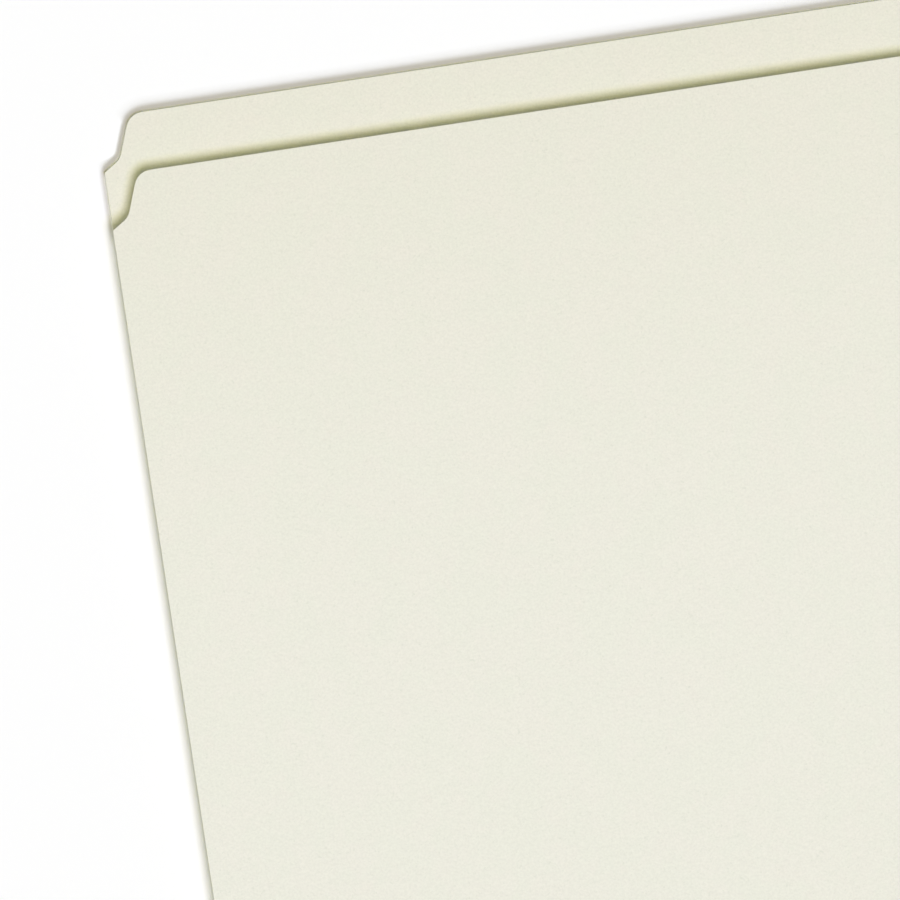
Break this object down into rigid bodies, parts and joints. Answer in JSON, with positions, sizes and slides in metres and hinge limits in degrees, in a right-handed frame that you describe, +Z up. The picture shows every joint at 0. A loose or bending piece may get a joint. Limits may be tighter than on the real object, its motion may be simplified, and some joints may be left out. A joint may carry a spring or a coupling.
{
  "type": "fastener folder",
  "caption": "Letter-size pressboard folder lying closed, with a notched straight-cut tab, a cloth gusset along its fold and a prong paper fastener inside each cover.",
  "frame": {"origin": "on the table under the middle of the closed folder's outline", "axes": "+X along the fold to the right, +Y from the fold up to the tab, +Z up out of the table, from the back cover to the front cover"},
  "size_m": [0.2984, 0.2546, 0.0065],
  "materials": {
    "pressboard": "matte",
    "gusset_cloth": "matte",
    "patch_paper": "matte",
    "tinplate": "satin"
  },
  "bodies": {
    "back_cover": {"back_board": "pressboard", "gusset_back_wing": "gusset_cloth", "gusset_back_web": "gusset_cloth", "gusset_crease": "gusset_cloth", "back_fastener_patch": "patch_paper", "back_fastener_base": "tinplate", "back_compressor_bar": "tinplate"},
    "front_cover": {"front_board": "pressboard", "gusset_front_wing": "gusset_cloth", "gusset_front_web": "gusset_cloth", "front_fastener_patch": "patch_paper", "front_fastener_base": "tinplate", "front_compressor_bar": "tinplate"},
    "back_lower_prong": {"back_lower_prong": "tinplate"},
    "back_upper_prong": {"back_upper_prong": "tinplate"},
    "front_lower_prong": {"front_lower_prong": "tinplate"},
    "front_upper_prong": {"front_upper_prong": "tinplate"},
    "back_lower_lock": {"back_lower_lock": "tinplate"},
    "back_upper_lock": {"back_upper_lock": "tinplate"},
    "front_lower_lock": {"front_lower_lock": "tinplate"},
    "front_upper_lock": {"front_upper_lock": "tinplate"}
  },
  "joints": [
    {"name": "cover_open", "type": "hinge", "parent": "back_cover", "child": "front_cover", "pos_m": [0, -0.1269, 0.00325], "axis": [1, 0, 0], "range_deg": [0, 180]},
    {"name": "back_lower_prong_bend", "type": "hinge", "parent": "back_cover", "child": "back_lower_prong", "pos_m": [-0.12383, -0.03466, 0.00246], "axis": [1, 0, 0], "range_deg": [0, 90]},
    {"name": "back_upper_prong_bend", "type": "hinge", "parent": "back_cover", "child": "back_upper_prong", "pos_m": [-0.12383, 0.03519, 0.00246], "axis": [-1, 0, 0], "range_deg": [0, 90]},
    {"name": "front_lower_prong_bend", "type": "hinge", "parent": "front_cover", "child": "front_lower_prong", "pos_m": [-0.12383, -0.03466, 0.00404], "axis": [-1, 0, 0], "range_deg": [0, 90]},
    {"name": "front_upper_prong_bend", "type": "hinge", "parent": "front_cover", "child": "front_upper_prong", "pos_m": [-0.12383, 0.03519, 0.00404], "axis": [1, 0, 0], "range_deg": [0, 90]},
    {"name": "back_lower_lock_slide", "type": "slide", "parent": "back_cover", "child": "back_lower_lock", "axis": [0, -1, 0], "range_m": [0, 0.024]},
    {"name": "back_upper_lock_slide", "type": "slide", "parent": "back_cover", "child": "back_upper_lock", "axis": [0, 1, 0], "range_m": [0, 0.024]},
    {"name": "front_lower_lock_slide", "type": "slide", "parent": "front_cover", "child": "front_lower_lock", "axis": [0, -1, 0], "range_m": [0, 0.024]},
    {"name": "front_upper_lock_slide", "type": "slide", "parent": "front_cover", "child": "front_upper_lock", "axis": [0, 1, 0], "range_m": [0, 0.024]}
  ],
  "couplings": [
    {"joint": "back_lower_prong_bend", "follows": "cover_open", "ratio": 0.5},
    {"joint": "back_upper_prong_bend", "follows": "cover_open", "ratio": 0.5},
    {"joint": "front_lower_prong_bend", "follows": "cover_open", "ratio": 0.5},
    {"joint": "front_upper_prong_bend", "follows": "cover_open", "ratio": 0.5}
  ]
}
